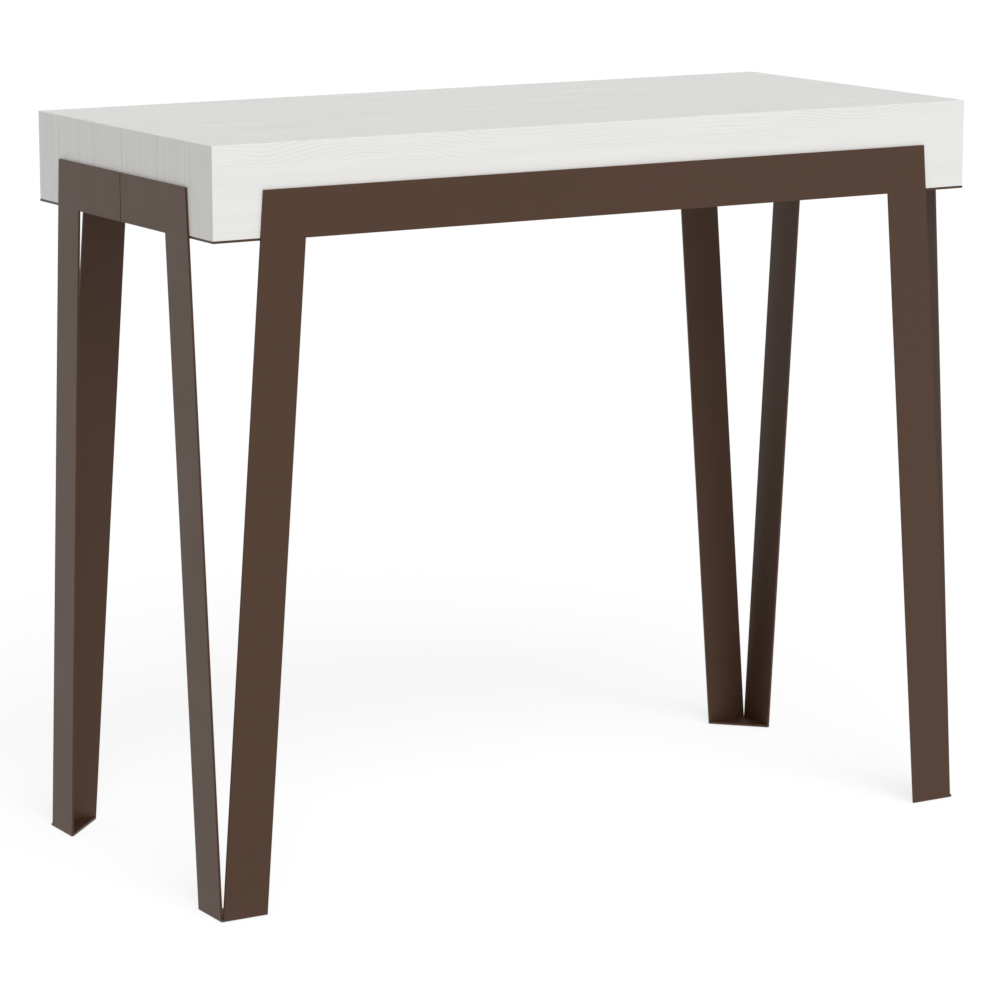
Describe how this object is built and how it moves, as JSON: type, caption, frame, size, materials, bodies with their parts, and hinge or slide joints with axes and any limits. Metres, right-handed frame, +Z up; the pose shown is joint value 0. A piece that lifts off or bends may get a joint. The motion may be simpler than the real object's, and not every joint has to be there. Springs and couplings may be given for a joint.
{
  "type": "extending console table",
  "caption": "Narrow console table with a white ash-grain box top on splayed flat steel legs; the front half pulls out on telescopic rails to make room for table leaves.",
  "frame": {"origin": "on the floor under the middle of the closed table", "axes": "+X along the top to the right as seen from the front, +Y to the back, +Z up"},
  "size_m": [0.901, 0.405, 0.77],
  "materials": {
    "white_ash_melamine": "embossed matt, white ash grain",
    "white_edge_banding": "matt",
    "brown_powder_coat": "semi-gloss powder coat on sheet steel",
    "extruded_aluminium": "mill finish",
    "nylon": "moulded",
    "zinc_plated_steel": "bright zinc",
    "packing_fibre": "pressed fibre",
    "felt": "pressed felt",
    "beech": "planed"
  },
  "bodies": {
    "rear_half": {"rear_top_board": "white_ash_melamine", "rear_apron": "white_ash_melamine", "rear_left_end_board": "white_ash_melamine", "rear_right_end_board": "white_ash_melamine", "rear_edge_banding": "white_edge_banding", "rear_corner_blocks": "beech", "rear_leg_bridge": "brown_powder_coat", "rear_left_leg_plate": "brown_powder_coat", "rear_right_leg_plate": "brown_powder_coat", "rear_base_flange": "brown_powder_coat", "rear_left_foot_plate": "brown_powder_coat", "rear_right_foot_plate": "brown_powder_coat", "rear_foot_pads": "felt", "rear_base_screws": "zinc_plated_steel", "rear_slide_packers": "packing_fibre", "rear_slide_screws": "zinc_plated_steel", "rear_left_rail": "extruded_aluminium", "rear_right_rail": "extruded_aluminium", "rear_runners": "nylon"},
    "slide_stage_1": {"stage_1_left_rail": "extruded_aluminium", "stage_1_right_rail": "extruded_aluminium", "stage_1_runners": "nylon", "stage_1_stops": "nylon"},
    "slide_stage_2": {"stage_2_left_rail": "extruded_aluminium", "stage_2_right_rail": "extruded_aluminium", "stage_2_runners": "nylon", "stage_2_stops": "nylon"},
    "slide_stage_3": {"stage_3_left_rail": "extruded_aluminium", "stage_3_right_rail": "extruded_aluminium", "stage_3_runners": "nylon", "stage_3_stops": "nylon"},
    "slide_stage_4": {"stage_4_left_rail": "extruded_aluminium", "stage_4_right_rail": "extruded_aluminium", "stage_4_runners": "nylon", "stage_4_stops": "nylon"},
    "slide_stage_5": {"stage_5_left_rail": "extruded_aluminium", "stage_5_right_rail": "extruded_aluminium", "stage_5_runners": "nylon", "stage_5_stops": "nylon"},
    "front_half": {"front_top_board": "white_ash_melamine", "front_apron": "white_ash_melamine", "front_left_end_board": "white_ash_melamine", "front_right_end_board": "white_ash_melamine", "front_edge_banding": "white_edge_banding", "front_corner_blocks": "beech", "front_leg_bridge": "brown_powder_coat", "front_left_leg_plate": "brown_powder_coat", "front_right_leg_plate": "brown_powder_coat", "front_base_flange": "brown_powder_coat", "front_left_foot_plate": "brown_powder_coat", "front_right_foot_plate": "brown_powder_coat", "front_foot_pads": "felt", "front_base_screws": "zinc_plated_steel", "front_slide_packers": "packing_fibre", "front_slide_screws": "zinc_plated_steel", "front_left_rail": "extruded_aluminium", "front_right_rail": "extruded_aluminium", "front_stops": "nylon", "front_dowels": "beech"}
  },
  "joints": [
    {"name": "slide_stage_1_travel", "type": "slide", "parent": "rear_half", "child": "slide_stage_1", "axis": [0, -1, 0], "range_m": [0, 0.26]},
    {"name": "slide_stage_2_travel", "type": "slide", "parent": "slide_stage_1", "child": "slide_stage_2", "axis": [0, -1, 0], "range_m": [0, 0.26]},
    {"name": "slide_stage_3_travel", "type": "slide", "parent": "slide_stage_2", "child": "slide_stage_3", "axis": [0, -1, 0], "range_m": [0, 0.26]},
    {"name": "slide_stage_4_travel", "type": "slide", "parent": "slide_stage_3", "child": "slide_stage_4", "axis": [0, -1, 0], "range_m": [0, 0.26]},
    {"name": "slide_stage_5_travel", "type": "slide", "parent": "slide_stage_4", "child": "slide_stage_5", "axis": [0, -1, 0], "range_m": [0, 0.26]},
    {"name": "table_extension", "type": "slide", "parent": "slide_stage_5", "child": "front_half", "axis": [0, -1, 0], "range_m": [0, 0.26]}
  ],
  "couplings": [
    {"joint": "slide_stage_1_travel", "follows": "table_extension", "ratio": 1},
    {"joint": "slide_stage_2_travel", "follows": "table_extension", "ratio": 1},
    {"joint": "slide_stage_3_travel", "follows": "table_extension", "ratio": 1},
    {"joint": "slide_stage_4_travel", "follows": "table_extension", "ratio": 1},
    {"joint": "slide_stage_5_travel", "follows": "table_extension", "ratio": 1}
  ]
}
